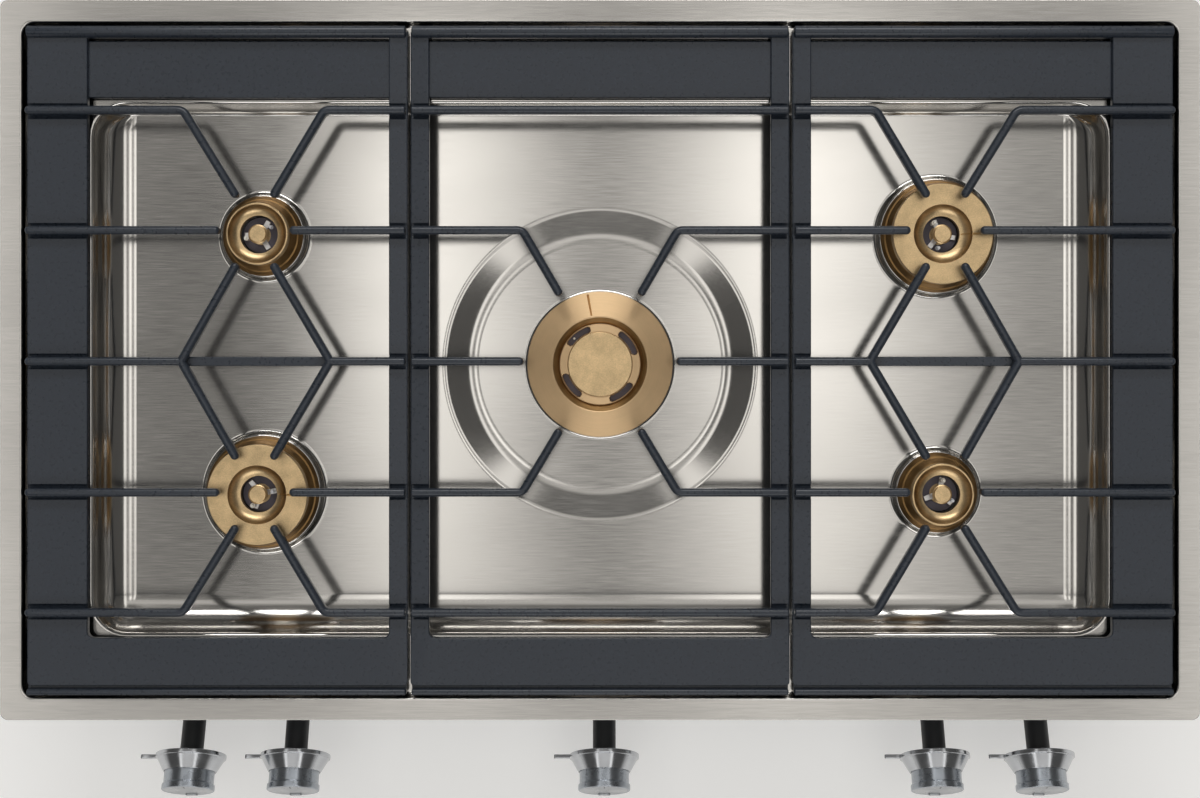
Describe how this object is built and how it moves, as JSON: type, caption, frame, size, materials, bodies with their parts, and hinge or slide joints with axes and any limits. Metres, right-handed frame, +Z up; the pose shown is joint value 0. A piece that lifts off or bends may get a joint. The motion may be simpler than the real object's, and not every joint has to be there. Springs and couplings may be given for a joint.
{
  "type": "gas cooktop",
  "caption": "Built-in stainless gas hob with a pressed basin, lift-off cast pan supports, brass ring burners and push-and-turn front knobs on tilted sleeves.",
  "frame": {"origin": "middle of the frame plate, on the worktop's surface (underside of the seal)", "axes": "+X to the user's right, +Y to the rear, +Z up"},
  "size_m": [0.908, 0.6191, 0.12],
  "materials": {
    "brushed_steel_sheet": "brushed",
    "foam_seal": "matt",
    "enamelled_cast_iron": "satin",
    "silicone_foot": "matt",
    "turned_brass": "turned",
    "matt_brass": "matt",
    "dark_brass": "turned",
    "diecast_aluminium": "matt",
    "stainless_tab": "satin",
    "white_ceramic": "glazed",
    "galvanised_sheet": "zinc coated",
    "zinc_screw": "zinc plated",
    "black_plastic": "matt",
    "grey_plastic": "matt",
    "satin_steel_knob": "satin",
    "brushed_knob_face": "brushed",
    "bright_steel": "bright drawn",
    "pipe_aluminium": "drawn"
  },
  "bodies": {
    "hob": {"top_plate": "brushed_steel_sheet", "worktop_seal": "foam_seal", "burner_bases": "dark_brass", "burner_cups": "diecast_aluminium", "injectors": "turned_brass", "burner_hubs": "turned_brass", "flame_spiders": "stainless_tab", "electrodes": "white_ceramic", "flame_sensors": "bright_steel", "housing": "galvanised_sheet", "bottom_cover": "galvanised_sheet", "cover_screws": "zinc_screw", "clamp_brackets": "galvanised_sheet", "bracket_screws": "zinc_screw", "clamp_screws": "zinc_screw", "gas_rail": "bright_steel", "rail_brackets": "grey_plastic", "gas_inlet": "turned_brass", "gas_taps": "turned_brass", "feed_pipes": "pipe_aluminium", "spark_generator": "black_plastic", "terminal_box": "grey_plastic", "mains_gland": "black_plastic", "knob_bezels": "satin_steel_knob", "bezel_sleeves": "black_plastic"},
    "pan_support_left": {"pan_support_left": "enamelled_cast_iron", "support_feet_left": "silicone_foot"},
    "pan_support_centre": {"pan_support_centre": "enamelled_cast_iron", "support_feet_centre": "silicone_foot"},
    "pan_support_right": {"pan_support_right": "enamelled_cast_iron", "support_feet_right": "silicone_foot"},
    "wok_inner": {"wok_inner_ring": "turned_brass", "wok_cap": "matt_brass"},
    "ring_rear_left": {"burner_ring_rear_left": "matt_brass"},
    "ring_front_left": {"burner_ring_front_left": "matt_brass"},
    "ring_wok": {"burner_ring_wok": "turned_brass"},
    "ring_front_right": {"burner_ring_front_right": "matt_brass"},
    "ring_rear_right": {"burner_ring_rear_right": "matt_brass"},
    "tap_plug_1": {"tap_plug_1": "turned_brass"},
    "knob_1": {"tap_spindle_1": "bright_steel", "knob_1": "satin_steel_knob", "knob_face_1": "brushed_knob_face"},
    "tap_plug_2": {"tap_plug_2": "turned_brass"},
    "knob_2": {"tap_spindle_2": "bright_steel", "knob_2": "satin_steel_knob", "knob_face_2": "brushed_knob_face"},
    "tap_plug_3": {"tap_plug_3": "turned_brass"},
    "knob_3": {"tap_spindle_3": "bright_steel", "knob_3": "satin_steel_knob", "knob_face_3": "brushed_knob_face"},
    "tap_plug_4": {"tap_plug_4": "turned_brass"},
    "knob_4": {"tap_spindle_4": "bright_steel", "knob_4": "satin_steel_knob", "knob_face_4": "brushed_knob_face"},
    "tap_plug_5": {"tap_plug_5": "turned_brass"},
    "knob_5": {"tap_spindle_5": "bright_steel", "knob_5": "satin_steel_knob", "knob_face_5": "brushed_knob_face"}
  },
  "joints": [
    {"name": "support_left_lift", "type": "slide", "parent": "hob", "child": "pan_support_left", "axis": [0, 0, 1], "range_m": [0, 0.15]},
    {"name": "support_centre_lift", "type": "slide", "parent": "hob", "child": "pan_support_centre", "axis": [0, 0, 1], "range_m": [0, 0.15]},
    {"name": "support_right_lift", "type": "slide", "parent": "hob", "child": "pan_support_right", "axis": [0, 0, 1], "range_m": [0, 0.15]},
    {"name": "ring_rear_left_lift", "type": "slide", "parent": "hob", "child": "ring_rear_left", "axis": [0, 0, 1], "range_m": [0, 0.06]},
    {"name": "ring_front_left_lift", "type": "slide", "parent": "hob", "child": "ring_front_left", "axis": [0, 0, 1], "range_m": [0, 0.0035]},
    {"name": "ring_wok_lift", "type": "slide", "parent": "hob", "child": "ring_wok", "axis": [0, 0, 1], "range_m": [0, 0.06]},
    {"name": "ring_front_right_lift", "type": "slide", "parent": "hob", "child": "ring_front_right", "axis": [0, 0, 1], "range_m": [0, 0.06]},
    {"name": "ring_rear_right_lift", "type": "slide", "parent": "hob", "child": "ring_rear_right", "axis": [0, 0, 1], "range_m": [0, 0.0035]},
    {"name": "wok_inner_lift", "type": "slide", "parent": "hob", "child": "wok_inner", "axis": [0, 0, 1], "range_m": [0, 0.06]},
    {"name": "tap_1_turn", "type": "hinge", "parent": "hob", "child": "tap_plug_1", "pos_m": [-0.3204, -0.3107, -0.042], "axis": [0, -0.9135, 0.4067], "range_deg": [0, 210]},
    {"name": "knob_1_push", "type": "slide", "parent": "tap_plug_1", "child": "knob_1", "axis": [0, 0.9135, -0.4067], "range_m": [0, 0.004], "stiffness_N_per_m": 1500, "springref_m": -0.004},
    {"name": "tap_2_turn", "type": "hinge", "parent": "hob", "child": "tap_plug_2", "pos_m": [-0.2387, -0.3107, -0.042], "axis": [0, -0.9135, 0.4067], "range_deg": [0, 210]},
    {"name": "knob_2_push", "type": "slide", "parent": "tap_plug_2", "child": "knob_2", "axis": [0, 0.9135, -0.4067], "range_m": [0, 0.004], "stiffness_N_per_m": 1500, "springref_m": -0.004},
    {"name": "tap_3_turn", "type": "hinge", "parent": "hob", "child": "tap_plug_3", "pos_m": [0.0033, -0.3107, -0.042], "axis": [0, -0.9135, 0.4067], "range_deg": [0, 210]},
    {"name": "knob_3_push", "type": "slide", "parent": "tap_plug_3", "child": "knob_3", "axis": [0, 0.9135, -0.4067], "range_m": [0, 0.004], "stiffness_N_per_m": 1500, "springref_m": -0.004},
    {"name": "tap_4_turn", "type": "hinge", "parent": "hob", "child": "tap_plug_4", "pos_m": [0.2623, -0.3107, -0.042], "axis": [0, -0.9135, 0.4067], "range_deg": [0, 210]},
    {"name": "knob_4_push", "type": "slide", "parent": "tap_plug_4", "child": "knob_4", "axis": [0, 0.9135, -0.4067], "range_m": [0, 0.004], "stiffness_N_per_m": 1500, "springref_m": -0.004},
    {"name": "tap_5_turn", "type": "hinge", "parent": "hob", "child": "tap_plug_5", "pos_m": [0.344, -0.3107, -0.042], "axis": [0, -0.9135, 0.4067], "range_deg": [0, 210]},
    {"name": "knob_5_push", "type": "slide", "parent": "tap_plug_5", "child": "knob_5", "axis": [0, 0.9135, -0.4067], "range_m": [0, 0.004], "stiffness_N_per_m": 1500, "springref_m": -0.004}
  ]
}
